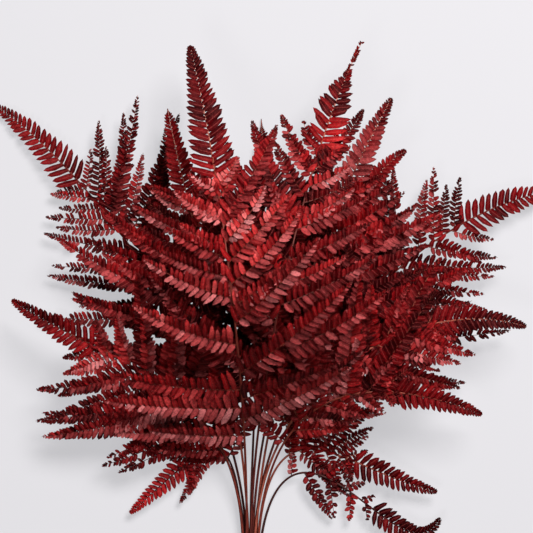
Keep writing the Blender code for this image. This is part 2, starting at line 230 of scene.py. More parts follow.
def heading_at(path, distance):
    """Unit direction from 2 mm behind each distance to 2 mm ahead of it."""
    step = 0.002
    ahead = point_at(path, np.minimum(distance + step, path.along[-1]))
    behind = point_at(path, np.maximum(distance - step, 0.0))
    run = ahead - behind
    return run / np.linalg.norm(run, axis=-1, keepdims=True)


def rachis_path(frond):
    """A five-point Bezier curve from the tie to the frond's tip."""
    place = tie_place(frond.name)[1]
    corners = np.array([(place, 0.0), (place, STEM_UPRIGHT), frond.lean, frond.sway, frond.tip])
    t = np.linspace(0.0, 1.0, 121)
    weights = [math.comb(4, i) * t**i * (1 - t) ** (4 - i) for i in range(5)]
    return path_of(np.stack(weights, axis=1) @ corners)


def pinna_path(root, angle, length, bend):
    """An arc: equal steps whose heading turns evenly by the bend."""
    distance = np.linspace(0.0, length, 41)
    heading = angle + bend * distance / length
    steps = np.stack([np.cos(heading), np.sin(heading)], axis=1) * (length / 40)
    middle = (steps[1:] + steps[:-1]) / 2
    return path_of(root + np.vstack([[0.0, 0.0], np.cumsum(middle, axis=0)]))


# %% [markdown]
# ## Pinnae
# The pinnae sit in pairs, longest near the bottom of the frond and opening less towards its
# tip, where leaflets sit on the rachis itself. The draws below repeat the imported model's, so
# each fine pinna grows where its plain one is.

# %% Pinnae of a frond
Pinna = namedtuple("Pinna", "path width tilt twist fold arch side spindle crowding")
SLENDER = 0.74
OPEN_LAYERS = (11, 12)
FEATHER_PITCH = 0.92
THREAD_TIPS = {"frond_tall_right": 0.52}
LOOSE = {
    "frond_drooping_right": 1.40,
    "frond_upper_left": 1.05,
    "frond_upper_right": 1.14,
    "frond_back_middle": 1.08,
}


def pinna_width(length):
    return PINNA_WIDTH_BASE + PINNA_WIDTH_GROWTH * length


def side_pinna(frond, rachis, share, side, differences, shrink=1.0):
    """One pinna at a share of the way from the first pair to the feather."""
    far, turn, tilt, twist, arch, curl = differences
    zone = rachis.along[-1] - frond.feather - frond.bare
    distance = frond.bare + zone * share
    first = FIRST_PINNA + (1.0 - FIRST_PINNA) * eased(share / FIRST_PINNA_SPAN)
    taper = first * (1.0 - SHORTENING * share**SHORTENING_POWER)
    length = frond.reach[side] * taper * (1.0 + 0.06 * far) * shrink
    ahead = heading_at(rachis, distance)
    sign = 1.0 if side == 0 else -1.0
    low = math.radians(frond.spread[side])
    opening = low + (LAST_SPREAD - low) * share + 0.07 * turn
    angle = math.atan2(ahead[1], ahead[0]) + sign * opening
    bend = -sign * math.radians(frond.bend + 9.0 * curl)
    path = pinna_path(point_at(rachis, distance), angle, length, bend)
    slender = SLENDER + (1.0 - SLENDER) * frond.layer / LAST_LAYER
    return Pinna(path, pinna_width(length) * slender, 0.5 * sign * abs(tilt) - 0.4 * sign,
                 0.45 * twist, 0.5, arch, sign, 0.04, LOOSE.get(frond.name, 1.0))


def pinnae_of(frond):
    """The side pinnae of a frond and the feather at its tip, with seeded differences."""
    source = np.random.default_rng(SEED + FRONDS.index(frond))
    draws = source.uniform(-1.0, 1.0, (frond.pairs + 1, 2, 7))
    rachis = rachis_path(frond)
    made = []
    for pair in range(frond.pairs):
        for side in (0, 1):
            near, *others = draws[pair, side]
            share = (pair + STAGGER * side + 0.06 * near) / frond.pairs
            share = 1.0 - (1.0 - max(share, 0.0)) ** CROWDING
            made.append(side_pinna(frond, rachis, share, side, others))
    total = rachis.along[-1]
    distances = np.linspace(total - frond.feather, total, 41)
    tilt, twist, arch = draws[frond.pairs, 0, :3]
    crowding = FEATHER_PITCH if frond.layer in OPEN_LAYERS else 1.0
    made.append(
        Pinna(path_of(point_at(rachis, distances)), 2.0 * FEATHER_SLOPE * frond.feather,
              0.3 * tilt, 0.3 * twist, 0.6, arch, 0.0,
              THREAD_TIPS.get(frond.name, frond.spindle), crowding)
    )
    return made


print("pinnae:", sum(len(pinnae_of(frond)) for frond in FRONDS))

# %% Pinnae between the pairs
FILLER_LENGTH = 0.92
FILLER_UNEVEN = 0.24
FILLER_TURN = 2.4
LONG_FILLERS = {
    "frond_upper_left": (0.85, 1.35),
    "frond_back_left": (1.25, 1.05),
    "frond_tall_right": (1.35, 1.00),
    "frond_upper_right": (1.15, 1.00),
    "frond_right": (0.95, 1.45),
    "frond_inner_right": (1.20, 1.10),
}
WITHOUT_FILLERS = ("frond_drooping_right",)
OPEN_FROM = 0.12
OPEN_UNTIL = 0.40
SINGLE_PINNAE = (
    ("frond_back_left", 0, 0.12, 3.0, 1.00), ("frond_back_left", 0, 0.34, 3.5, 1.10),
    ("frond_back_left", 0, 0.56, 2.0, 1.20), ("frond_back_left", 1, 0.90, 1.0, 1.60),
    ("frond_upper_left", 1, 0.50, -3.0, 1.25), ("frond_upper_left", 1, 0.66, 2.0, 1.50),
    ("frond_back_middle", 0, 0.60, 1.0, 1.50), ("frond_back_middle", 1, 0.66, -2.0, 1.30),
    ("frond_back_middle", 0, 0.86, 0.0, 1.80), ("frond_front", 1, 0.84, -2.0, 1.90),
    ("frond_upper_right", 0, 0.40, 1.0, 1.30), ("frond_inner_right", 1, 0.70, -1.0, 1.60),
    ("frond_right", 0, 0.80, -3.0, 1.80), ("frond_right", 1, 0.86, -2.0, 2.00),
    ("frond_left", 1, 0.62, 0.0, 1.50), ("frond_low_right", 0, 0.50, 0.0, 1.30),
    ("frond_drooping_left", 1, 0.20, 2.0, 1.00), ("frond_drooping_left", 1, 0.02, 0.0, 1.30),
    ("frond_low_right", 0, 0.02, 0.0, 1.40), ("frond_low_right", 0, 0.25, 1.0, 1.30),
    ("frond_lower_left", 1, 0.03, -3.0, 1.00), ("frond_tall_right", 0, 0.74, -2.0, 1.50),
    ("frond_upper_left", 1, 0.80, 1.0, 1.80), ("frond_upper_right", 0, 0.26, 1.0, 1.20),
    ("frond_left", 1, 0.45, 1.0, 1.30), ("frond_back_right", 1, 0.62, 0.0, 1.30),
    ("frond_tall_right", 1, 0.92, -5.0, 2.00), ("frond_back_middle", 0, 0.93, -3.0, 2.60),
    ("frond_upper_left", 1, 0.74, -2.0, 1.45), ("frond_upper_right", 0, 0.66, 0.0, 1.10),
    ("frond_upper_right", 1, 0.60, 0.0, 0.92), ("frond_back_right", 1, 0.30, 0.0, 1.25),
    ("frond_right", 1, 0.70, 1.0, 1.25), ("frond_back_left", 0, 0.22, 0.5, 1.05),
    ("frond_lower_right", 0, 0.62, 3.0, 1.70), ("frond_lower_right", 0, 0.80, 0.0, 2.40),
    ("frond_right", 0, 0.62, 4.0, 1.60), ("frond_right", 0, 0.44, 4.0, 1.30),
)


def filler_pinnae(frond, source):
    """Shorter pinnae halfway between the pairs, which lie a little lower in the layer.
    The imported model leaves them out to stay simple."""
    rachis = rachis_path(frond)
    made = []
    for pair in range(frond.pairs):
        for side in (0, 1):
            near, *others = source.uniform(-1.0, 1.0, 7)
            others[1] *= FILLER_TURN
            share = (pair + 0.5 + STAGGER * side + 0.26 * near) / frond.pairs
            left_open = frond.layer in OPEN_LAYERS and OPEN_FROM < share < OPEN_UNTIL
            if share > 0.97 or left_open or frond.name in WITHOUT_FILLERS:
                continue
            share = 1.0 - (1.0 - share) ** CROWDING
            longer = LONG_FILLERS.get(frond.name, (1.0, 1.0))[side]
            shrink = longer * (FILLER_LENGTH + FILLER_UNEVEN * source.uniform(-1.0, 1.0))
            pinna = side_pinna(frond, rachis, share, side, others, shrink)
            made.append(pinna._replace(arch=-1.0, tilt=-0.5 * pinna.tilt))
    for name, side, share, turn, shrink in SINGLE_PINNAE:
        if name == frond.name:
            pinna = side_pinna(frond, rachis, share, side, (0.0, turn, 0.5, 0.0, -1.0, 0.0), shrink)
            made.append(pinna)
    return made


# %% Height of a place on a pinna
def lift_share(pinna, t, across):
    """Share of the freedom, level at the root: tilt and twist about the rib, a fold along
    it, and an arch along the pinna's length."""
    tilt = np.clip(pinna.tilt + pinna.twist * t, -1.0, 1.0)
    curve = 0.55 * tilt * across + 0.25 * pinna.fold * np.abs(across)
    return eased(t / 0.14) * (curve + 0.20 * pinna.arch * np.sin(2.4 * t))


def pinna_height(pinna, frond, plan, t, across):
    """Layer height plus the pinna's own lift, for plan points of any array shape."""
    x, y = plan[..., 0], plan[..., 1]
    return layer_height(frond, x, y) + freedom(x, y) * lift_share(pinna, t, across)


# %% [markdown]
# ## Leaflets
# A leaflet is a small blunt blade, a few millimetres wide, folded a little along its midrib
# and tucked under the next one like a roof tile. Thousands are needed, so one leaflet is a
# small grid: along it runs v, across it runs u. All leaflets of a pinna are computed at once
# as one array. A second skin under the first closes each blade, thickest at its midrib.

# %% Grid of one leaflet
ALONG = np.array([0.0, 0.14, 0.48, 0.83, 1.0])
ACROSS = np.linspace(-1.0, 1.0, 5)
LEAF_THICKNESS = 0.00035


def leaflet_faces():
    """Quads of a closed blade: a top grid and a bottom grid that share their outline.
    The top's points come first, row by row, then the inner points of the bottom."""
    rows, columns = len(ALONG), len(ACROSS)
    top = np.arange(rows * columns).reshape(rows, columns)
    bottom = top.copy()
    inner = (rows - 2) * (columns - 2)
    bottom[1:-1, 1:-1] = rows * columns + np.arange(inner).reshape(rows - 2, columns - 2)

    def quads(grid):
        corners = grid[:-1, :-1], grid[1:, :-1], grid[1:, 1:], grid[:-1, 1:]
        return np.stack(corners, axis=-1).reshape(-1, 4)

    return np.vstack([quads(top), quads(bottom)[:, ::-1]])


LEAFLET_FACES = leaflet_faces()
LEAFLET_POINTS = int(LEAFLET_FACES.max()) + 1
print("one leaflet:", LEAFLET_POINTS, "points,", len(LEAFLET_FACES), "faces")

# %% Places of the leaflets along a rib
FIRST_LEAFLET = 0.0016
LAST_LEAFLET = 0.985
LEAST_PITCH = 0.0004
MOST_PITCH = 0.0088
PITCH_REACH = 0.0110
CRUMB = 0.0024
CRUMBS_LOST = 0.45


def leaf_reach(pinna, t):
    """Length of the leaflets along a rib. On a side pinna they are longest next to the
    rachis, soon shorter, then fall to a point. The feather at a frond's tip widens in a
    nearly straight line from its end to its base."""
    if pinna.side:
        share = 0.80 + 0.45 * np.exp(-t / 0.11)
        return 0.5 * pinna.width * share * (1.0 - np.clip(t, 0.0, 1.0) ** 2.4) ** 0.8
    left = np.clip(1.0 - t, 0.0, 1.0)
    reach = 0.5 * pinna.width * left**0.62 * np.minimum(1.0, (left / pinna.spindle) ** 2)
    return np.maximum(reach, CRUMB) if pinna.spindle in THREAD_TIPS.values() else reach


def leaflet_pitch(pinna, reach):
    """LEAST_PITCH + MOST_PITCH (1 - e^(-reach / PITCH_REACH)): short leaflets are round and
    crowded, and long ones narrow. Loose fronds have wider pitches, top feathers closer."""
    return pinna.crowding * (LEAST_PITCH + MOST_PITCH * (1.0 - np.exp(-reach / PITCH_REACH)))


def leaflet_stations(pinna, offset):
    """Distances along the rib, where the running sum of 1 / pitch passes whole numbers."""
    length = pinna.path.along[-1]
    fine = np.linspace(FIRST_LEAFLET, LAST_LEAFLET * length, 200)
    pitch = leaflet_pitch(pinna, leaf_reach(pinna, fine / length))
    counted = np.concatenate([[0.0], np.cumsum(np.diff(fine) / pitch[1:])])
    return np.interp(np.arange(offset, counted[-1], 1.0), counted, fine)


# %% Shape of the leaflets
SLANT_UPPER = math.radians(84)
SLANT_LOWER = math.radians(72)
SLANT_LAST = math.radians(58)
ROLL = 0.30
FOLD = 0.22
DROOP = 0.10
RISE = 0.72
ROOM_SHARE = 0.62
ROOM_EXTRA = 0.0016
COMB_END = 0.40
APART = 0.84
CLOSING = 0.18
CLOSING_UNDER = 0.42
CLOSING_FEATHER = 0.22
CLOSED_LAYER = 6
FEATHER_UNEVEN = 0.45
# Painted sheen: the small share of it that the upper rows take.
UPPER_ROW_SHEEN = 0.12
SHORT_AT_RACHIS = 0.45
LOST_ANYWHERE = 0.02
LOST_AT_TIP = 0.16


def leaflet_outline(v, bluntness):
    """Half width along a leaflet: quick to full width at the base, then (1 - v^n)^0.55,
    where a larger n is a blunter end."""
    return np.minimum(1.0, 0.62 + 1.9 * v) * (1.0 - v**bluntness) ** 0.55


def held_within(rise, room):
    """A rise that eases off towards the room there is: room (1 - e^(-rise / room))."""
    return room * (1.0 - np.exp(-rise / room))


def leaflets_of(pinna, frond, source):
    """Top and bottom points of all leaflets of a pinna, shape (leaflets, points, 3), with one
    tone for each. A point is the rib's place, plus v times the leaflet's length outwards,
    plus u times its half width sideways, plus a forward curve that grows with v^2. Both
    rows rise from the rib like the sides of an open book. To that height the leaflet adds
    its own fold |u|, roll u and droop v^2."""
    length = pinna.path.along[-1]
    stations = [leaflet_stations(pinna, offset) for offset in (0.30, 0.62)]
    distance = np.concatenate(stations)
    side = np.repeat([1.0, -1.0], [len(part) for part in stations])
    t = distance / length
    count = len(distance)
    draws = source.uniform(-1.0, 1.0, (9, count))
    open_upper, open_lower = RISE * (1.0 + 0.45 * source.uniform(-1.0, 1.0, 2))

    local = leaf_reach(pinna, t)
    pitch = leaflet_pitch(pinna, local)
    uneven = 1.0 if pinna.side or frond.name in THREAD_TIPS else FEATHER_UNEVEN
    reach = (local + 0.0006) * (1.04 + 0.15 * uneven * draws[0])
    closing = CLOSING * min(1.0, frond.layer / CLOSED_LAYER)
    if frond.layer not in OPEN_LAYERS:
        closing = closing + CLOSING_UNDER * covered_share(*point_at(pinna.path, distance).T)
    elif not pinna.side:
        closing = CLOSING_FEATHER
    half = 0.5 * pitch * (APART + closing * eased(t / COMB_END) + 0.09 * draws[1])
    upper = -side * pinna.side
    reach = reach * (1.0 - SHORT_AT_RACHIS * (upper < 0.0) * (1.0 - eased(distance / 0.016)))
    first_slant = np.where(upper > 0.0, SLANT_UPPER, SLANT_LOWER)
    slant = first_slant + (SLANT_LAST - first_slant) * t**1.5
    slant = slant + 0.14 * uneven * draws[2]

    ahead = heading_at(pinna.path, distance)
    left = np.stack([-ahead[:, 1], ahead[:, 0]], axis=1)
    out = left * (side * np.sin(slant))[:, None] + ahead * np.cos(slant)[:, None]
    beside = np.stack([-out[:, 1], out[:, 0]], axis=1)
    v = ALONG[None, :, None]
    u = ACROSS[None, None, :]
    bluntness = (3.8 + 1.7 * draws[3])[:, None, None]
    teeth = 1.0 + 0.18 * source.uniform(-1.0, 1.0, (count, len(ALONG), 1))
    outline = leaflet_outline(v, bluntness) * teeth
    sideways = u * outline * half[:, None, None]
    forward = 0.16 * v**2 * reach[:, None, None]
    plan = (
        point_at(pinna.path, distance)[:, None, None, :]
        + out[:, None, None, :] * (v * reach[:, None, None])[..., None]
        + beside[:, None, None, :] * sideways[..., None]
        + ahead[:, None, None, :] * forward[..., None]
    )
    across = (side * np.sin(slant) * reach * 2.0 / pinna.width)[:, None, None] * v
    height = pinna_height(pinna, frond, plan, t[:, None, None], across)
    spacing = dome_height(plan[..., 0], plan[..., 1]) / LAST_LAYER
    steep = np.where(upper > 0.0, open_upper, open_lower) * (1.0 + 0.25 * draws[8])
    rise = steep[:, None, None] * v * reach[:, None, None]
    height = height + held_within(rise, ROOM_SHARE * spacing + ROOM_EXTRA)
    room = np.clip(freedom(plan[..., 0], plan[..., 1]) / 0.0035, 0.6, 1.4)
    ahead_share = -side[:, None, None] * sideways
    fold = (FOLD + 0.35 * draws[4])[:, None, None] * np.abs(sideways)
    roll = (ROLL + 0.50 * draws[5])[:, None, None] * ahead_share
    droop = (DROOP + 0.20 * draws[6])[:, None, None] * v**2 * reach[:, None, None]
    height = height + room * (fold + roll - droop)
    top = np.concatenate([plan, height[..., None]], axis=-1)
    thick = LEAF_THICKNESS * (1.0 - 0.5 * np.abs(ACROSS[1:-1]))
    bottom = top[:, 1:-1, 1:-1].copy()
    bottom[..., 2] -= thick
    points = np.concatenate([top.reshape(count, -1, 3), bottom.reshape(count, -1, 3)], axis=1)
    lost = (LOST_ANYWHERE + LOST_AT_TIP * t**3) * abs(pinna.side)
    if pinna.spindle in THREAD_TIPS.values():
        lost = np.where(local > CRUMB, LOST_ANYWHERE, CRUMBS_LOST)
    kept = source.uniform(0.0, 1.0, count) > lost
    # Painted sheen: the lower row of each pinna, which mostly faces the key light, takes it in full, the
    # upper row a small share.
    share = np.where(upper[kept] < 0.0, 1.0, UPPER_ROW_SHEEN)
    return points[kept], 0.5 + 0.5 * uneven * draws[7, kept], share


# %% [markdown]
# ## Tubes
# Stems, rachises and the ribs of the pinnae are all one shape: a round profile carried along
# a path, with a radius of its own at each station. Dried fern stems have a groove along
# their upper side, which the profile keeps.

# %% A profile carried along a path
def tube(points, radii, sides, groove=0.0):
    """Points (stations, sides, 3) and faces. Each ring is the radius times cosine of the
    angle along the level side direction, plus sine along the direction square to it and to
    the path. The groove makes the radius smaller round the top."""
    ahead = np.gradient(points, axis=0)
    ahead /= np.linalg.norm(ahead, axis=1, keepdims=True)
    level = np.cross(ahead, (0.0, 0.0, 1.0))
    level /= np.linalg.norm(level, axis=1, keepdims=True)
    over = np.cross(level, ahead)
    angle = np.arange(sides) * 2.0 * math.pi / sides
    profile = 1.0 - groove * np.exp(-(((angle - math.pi / 2) / 0.45) ** 2))
    size = np.asarray(radii)[:, None] * profile
    ring = (
        points[:, None, :]
        + level[:, None, :] * (size * np.cos(angle))[..., None]
        + over[:, None, :] * (size * np.sin(angle))[..., None]
    )
    grid = np.arange(len(points) * sides).reshape(len(points), sides)
    after = np.roll(grid, -1, axis=1)
    corners = grid[:-1], after[:-1], after[1:], grid[1:]
    quads = np.stack(corners, axis=-1).reshape(-1, 4).tolist()
    caps = [grid[0][::-1].tolist(), grid[-1].tolist()]
    return ring.reshape(-1, 3), quads + caps


def joined(shapes):
    """Several (points, faces) as one, with the face numbers moved on."""
    points, faces, start = [], [], 0
    for shape_points, shape_faces in shapes:
        points.append(shape_points)
        faces += [[start + i for i in face] for face in shape_faces]
        start += len(shape_points)
    return np.vstack(points), faces


# %% Stem line of a frond
def stem_line(frond):
    """The stem's middle line from its cut end to the tip, with its radii."""
    row, place = tie_place(frond.name)
    rachis = rachis_path(frond)
    stations = np.linspace(STRAIGHT, rachis.along[-1] * 0.995, 90)
    x, y = point_at(rachis, stations).T
    blade = np.column_stack([x, y, layer_height(frond, x, y)])
    cut = CUT_LENGTH + CUT_UNEVEN * math.cos(2.4 * FRONDS.index(frond))
    z = row_height(row)
    foot = np.array([
        (place * FOOT_SPLAY[0], -cut, z + (row - 1) * FOOT_LIFT),
        (place * FOOT_SPLAY[1], -cut * 0.5, z + row * FOOT_LIFT / 3),
        (place, -STRAIGHT, z),
    ])
    share = np.linspace(0.0, 2.0, 16)
    foot = np.column_stack([np.interp(share, range(3), foot[:, i]) for i in range(3)])
    bare_end = rachis.along[-1] - frond.feather + 0.012
    along = np.minimum((stations - stations[0]) / (bare_end - stations[0]), 1.0)
    radii = STEM_RADIUS + (RACHIS_RADIUS - STEM_RADIUS) * along**RACHIS_THINNING
    past = np.clip((stations - bare_end) / (stations[-1] - bare_end), 0.0, 1.0)
    radii = radii * (1.0 - 0.72 * past)
    return np.vstack([foot, blade]), np.concatenate([[STEM_RADIUS] * 16, radii])


def rib_line(pinna, frond):
    """The rib's middle line, with a radius that falls evenly to a third at the tip."""
    distance = np.linspace(-0.0006, pinna.path.along[-1], 15)
    t = np.clip(distance / pinna.path.along[-1], 0.0, 1.0)
    plan = point_at(pinna.path, distance)
    height = pinna_height(pinna, frond, plan, t, np.zeros_like(t))
    return np.column_stack([plan, height]), 0.00062 * (1.0 - 0.68 * t)


# %% [markdown]
# ## Leaf and stem finishes
# The fronds were dried, then dyed. The dye takes unevenly: each leaflet has its own red
# between wine and scarlet, paler along the midrib where the leaf is thick. A dark rim round
# each leaflet is painted shade for the gaps between leaflets. The dry skin is matt, and the
# row of each pinna that faces the key light carries a painted pinkish sheen. A number on
# every leaflet, called tone, picks its place on the colour ramp. Besides its random part it
# holds painted shade: darker for lower layers, filler pinnae, leaflets deep in the heap and
# the tips of the top layers.

# %% Small helpers for materials
def shader_of(name, roughness, sheen=0.0, specular=0.5, glint=(1.0, 1.0, 1.0)):
    """A Principled material with its constant values set on the shader's own sockets."""
    material = bpy.data.materials.new(name)
    material.use_nodes = True
    nodes, links = material.node_tree.nodes, material.node_tree.links
    shader = nodes["Principled BSDF"]
    shader.inputs["Roughness"].default_value = roughness
    shader.inputs["Sheen Weight"].default_value = sheen
    shader.inputs["Sheen Tint"].default_value = (1.0, 0.62, 0.60, 1.0)
    shader.inputs["Sheen Roughness"].default_value = 0.45
    shader.inputs["Specular IOR Level"].default_value = specular
    shader.inputs["Specular Tint"].default_value = (*glint, 1.0)
    return material, nodes, links, shader


def ramp_of(nodes, stops):
    """A colour ramp with the given (position, colour) stops."""
    ramp = nodes.new("ShaderNodeValToRGB")
    elements = ramp.color_ramp.elements
    while len(elements) < len(stops):
        elements.new(0.5)
    for element, (position, colour) in zip(elements, stops):
        element.position = position
        element.color = (*colour, 1.0)
    return ramp


def mixed(nodes, links, kind, factor, first, second):
    """A colour mix whose inputs are sockets or plain colours."""
    mix = nodes.new("ShaderNodeMix")
    mix.data_type = "RGBA"
    mix.blend_type = kind
    for socket, value in ((mix.inputs[0], factor), (mix.inputs[6], first), (mix.inputs[7], second)):
        if hasattr(value, "is_output"):
            links.new(value, socket)
        elif isinstance(value, tuple):
            socket.default_value = (*value, 1.0)
        else:
            socket.default_value = value
    return mix.outputs[2]


def calculated(nodes, links, operation, *values):
    """A Math node whose inputs are sockets or plain numbers."""
    node = nodes.new("ShaderNodeMath")
    node.operation = operation
    for socket, value in zip(node.inputs, values):
        if hasattr(value, "is_output"):
            links.new(value, socket)
        else:
            socket.default_value = value
    return node.outputs[0]


def noise_of(nodes, links, vector, scale, detail=4.0):
    noise = nodes.new("ShaderNodeTexNoise")
    noise.inputs["Scale"].default_value = scale
    noise.inputs["Detail"].default_value = detail
    links.new(vector, noise.inputs["Vector"])
    return noise.outputs["Fac"]


# %% Dyed leaf
def dyed_leaf():
    """Colour: ramp by tone, darkened by soft blotches, lightened along the midrib, darkened at
    the rim as painted shade between leaflets, and veiled in pink by the painted sheen.
    Height: side veins as slanted waves on the leaflet's own (u, v), and fine wrinkles."""
    material, nodes, links, shader = shader_of("dyed_leaf", 0.40, specular=0.24,
                                               glint=(1.0, 0.26, 0.25))
    place = nodes.new("ShaderNodeTexCoord").outputs["Object"]
    tone = nodes.new("ShaderNodeAttribute")
    tone.attribute_name = "tone"
    ramp = ramp_of(nodes, (
        (0.00, (0.030, 0.001, 0.002)),
        (0.30, (0.165, 0.002, 0.004)),
        (0.60, (0.335, 0.004, 0.006)),
        (0.85, (0.540, 0.034, 0.034)),
        (1.00, (0.780, 0.140, 0.134)),
    ))
    blotch = noise_of(nodes, links, place, 24.0, 3.0)
    moved = calculated(nodes, links, "MULTIPLY_ADD", blotch, 0.9, -0.45)
    links.new(calculated(nodes, links, "ADD", tone.outputs["Fac"], moved), ramp.inputs["Fac"])

    grid = nodes.new("ShaderNodeUVMap")
    grid.uv_map = "blade"
    split = nodes.new("ShaderNodeSeparateXYZ")
    links.new(grid.outputs["UV"], split.inputs[0])
    across = calculated(nodes, links, "ABSOLUTE",
                        calculated(nodes, links, "MULTIPLY_ADD", split.outputs[0], 2.0, -1.0))
    rim = calculated(nodes, links, "SMOOTH_MIN",
                     calculated(nodes, links, "POWER", across, 5.0), 1.0, 0.1)
    midrib = calculated(nodes, links, "POWER",
                        calculated(nodes, links, "SUBTRACT", 1.0, across), 14.0)
    pale = calculated(nodes, links, "MULTIPLY", midrib, 0.45)
    colour = mixed(nodes, links, "MIX", pale, ramp.outputs["Color"], (0.50, 0.085, 0.075))
    # Painted sheen: a pink veil, strongest on the light leaflets of the row that faces the key light.
    painted_sheen = nodes.new("ShaderNodeAttribute")
    painted_sheen.attribute_name = "painted_sheen"
    squared = calculated(nodes, links, "POWER", tone.outputs["Fac"], 2.0)
    sheen_veil = calculated(nodes, links, "MULTIPLY", painted_sheen.outputs["Fac"],
                      calculated(nodes, links, "MULTIPLY", squared, 1.9))
    sheen_veil = calculated(nodes, links, "MINIMUM", sheen_veil, 0.9)
    colour = mixed(nodes, links, "MIX", sheen_veil, colour, (0.66, 0.235, 0.235))
    slanted = calculated(nodes, links, "MULTIPLY_ADD", across, -0.35, split.outputs[1])
    veins = calculated(nodes, links, "SINE", calculated(nodes, links, "MULTIPLY", slanted, 44.0))
    specks = noise_of(nodes, links, place, 420.0, 2.0)
    dark = calculated(nodes, links, "MULTIPLY_ADD", specks, 1.7, 0.28)
    dark = calculated(nodes, links, "MULTIPLY_ADD", veins, 0.14, dark)
    # Painted shade: a dark edge round every leaflet stands for the shade in the gaps between leaflets.
    dark = calculated(nodes, links, "MULTIPLY_ADD", rim, -0.80, dark)
    shade = nodes.new("ShaderNodeCombineColor")
    for socket in shade.inputs[:3]:
        links.new(dark, socket)
    links.new(mixed(nodes, links, "MULTIPLY", 1.0, colour, shade.outputs[0]),
              shader.inputs["Base Color"])

    wrinkles = noise_of(nodes, links, place, 330.0, 5.0)
    relief = calculated(nodes, links, "MULTIPLY_ADD", veins, 0.10, wrinkles)
    relief = calculated(nodes, links, "MULTIPLY_ADD", midrib, 0.35, relief)
    bump = nodes.new("ShaderNodeBump")
    bump.inputs["Strength"].default_value = 0.75
    bump.inputs["Distance"].default_value = 0.0011
    links.new(relief, bump.inputs["Height"])
    links.new(bump.outputs["Normal"], shader.inputs["Normal"])
    return material


# %% Dyed stem
def dyed_stem():
    """Brown-red stem with long streaks: noise that is stretched along the tube's own v.
    It is paler where its tone is high: each stem has its own, which rises towards the crown."""
    material, nodes, links, shader = shader_of("dyed_stem", 0.50, specular=0.35,
                                               glint=(1.0, 0.60, 0.55))
    grid = nodes.new("ShaderNodeUVMap")
    grid.uv_map = "tube"
    stretch = nodes.new("ShaderNodeMapping")
    stretch.inputs["Scale"].default_value = (9.0, 40.0, 1.0)
    links.new(grid.outputs["UV"], stretch.inputs["Vector"])
    streaks = noise_of(nodes, links, stretch.outputs[0], 1.0, 5.0)
    ramp = ramp_of(nodes, (
        (0.20, (0.020, 0.006, 0.006)),
        (0.45, (0.085, 0.014, 0.012)),
        (0.62, (0.200, 0.030, 0.018)),
        (0.85, (0.420, 0.110, 0.070)),
        (1.00, (0.600, 0.260, 0.200)),
    ))
    tone = nodes.new("ShaderNodeAttribute")
    tone.attribute_name = "tone"
    moved = calculated(nodes, links, "MULTIPLY_ADD", tone.outputs["Fac"], 0.5, -0.25)
    links.new(calculated(nodes, links, "ADD", streaks, moved), ramp.inputs["Fac"])
    links.new(ramp.outputs["Color"], shader.inputs["Base Color"])
    bump = nodes.new("ShaderNodeBump")
    bump.inputs["Strength"].default_value = 0.5
    bump.inputs["Distance"].default_value = 0.0003
    links.new(streaks, bump.inputs["Height"])
    links.new(bump.outputs["Normal"], shader.inputs["Normal"])
    return material


leaf_finish = dyed_leaf()
stem_finish = dyed_stem()
print("finishes:", leaf_finish.name, stem_finish.name)

# %% [markdown]
# ## Dressing the fronds
# Each frond becomes two pieces: all its leaflets, and its stem with the ribs. Both stand for
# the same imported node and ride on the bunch's one body.


# %% Mesh from arrays
def piece_of(name, points, faces, material, body="root"):
    """A mesh object at the origin, smooth, with edges sharper than 60 degrees kept."""
    mesh = bpy.data.meshes.new(name)
    mesh.from_pydata(np.asarray(points).tolist(), [], faces if isinstance(faces, list) else faces.tolist())
    mesh.shade_smooth()
    mesh.set_sharp_from_angle(angle=math.radians(60))
    mesh.materials.append(material)
    made = bpy.data.objects.new(name, mesh)
    bpy.context.scene.collection.objects.link(made)
    return made


def give_uv(mesh, name, per_point):
    """A UV map with each face corner at its point's value."""
    corner = np.empty(len(mesh.loops), dtype=np.int32)
    mesh.loops.foreach_get("vertex_index", corner)
    layer = mesh.uv_layers.new(name=name)
    layer.uv.foreach_set("vector", per_point[corner].astype(np.float32).ravel())


def give_number(mesh, name, values):
    """One number on every point, which a finish reads by its name."""
    mesh.attributes.new(name, "FLOAT", "POINT").data.foreach_set(
        "value", np.asarray(values, dtype=np.float32))


# %% Build every frond
v_grid, u_grid = np.meshgrid(ALONG, ACROSS, indexing="ij")
top_uv = np.stack([0.5 + 0.5 * u_grid, v_grid], axis=-1)
LEAFLET_UV = np.vstack([top_uv.reshape(-1, 2), top_uv[1:-1, 1:-1].reshape(-1, 2)])
PALE_RACHIS = 0.9
STEM_SIDES = 10
RIB_SIDES = 5
# Painted shade: lower layers get a darker tone, higher layers a lighter one.
SHADED_LAYER_TONE = -0.10
LIT_LAYER_TONE = 0.08
CROWN_FROM = 0.360
CROWN_SPAN = 0.120
# Painted shade on the tips of the top layers.
CROWN_PAINTED_SHADE = 0.17
# Painted shade for the filler pinnae, which lie a little lower in the layer.
FILLER_PAINTED_SHADE = 0.14
# Painted sheen: its strength for each pinna is drawn from this range.
PAINTED_SHEEN_RANGE = (0.08, 0.78)
# Painted shade for leaflets deep in the heap, eased off towards the top and bottom.
DEEP_FROM = 0.020
DEEP_SPAN = 0.080
DEEP_PAINTED_SHADE = 0.56
BRIGHT_FROM = 0.250
BRIGHT_SPAN = 0.120
BRIGHT_SHARE = 0.60
LOW_BRIGHT_FROM = 0.285
LOW_BRIGHT_SPAN = 0.070
LOW_BRIGHT_SHARE = 0.80
DYE = {
    "frond_upper_right": -0.10, "frond_inner_right": -0.15, "frond_back_right": -0.13,
    "frond_right": -0.10, "frond_lower_right": -0.10, "frond_tall_right": -0.16,
    "frond_back_middle": -0.04, "frond_lower_left": 0.06, "frond_left": 0.02,
    "frond_drooping_left": 0.04,
}
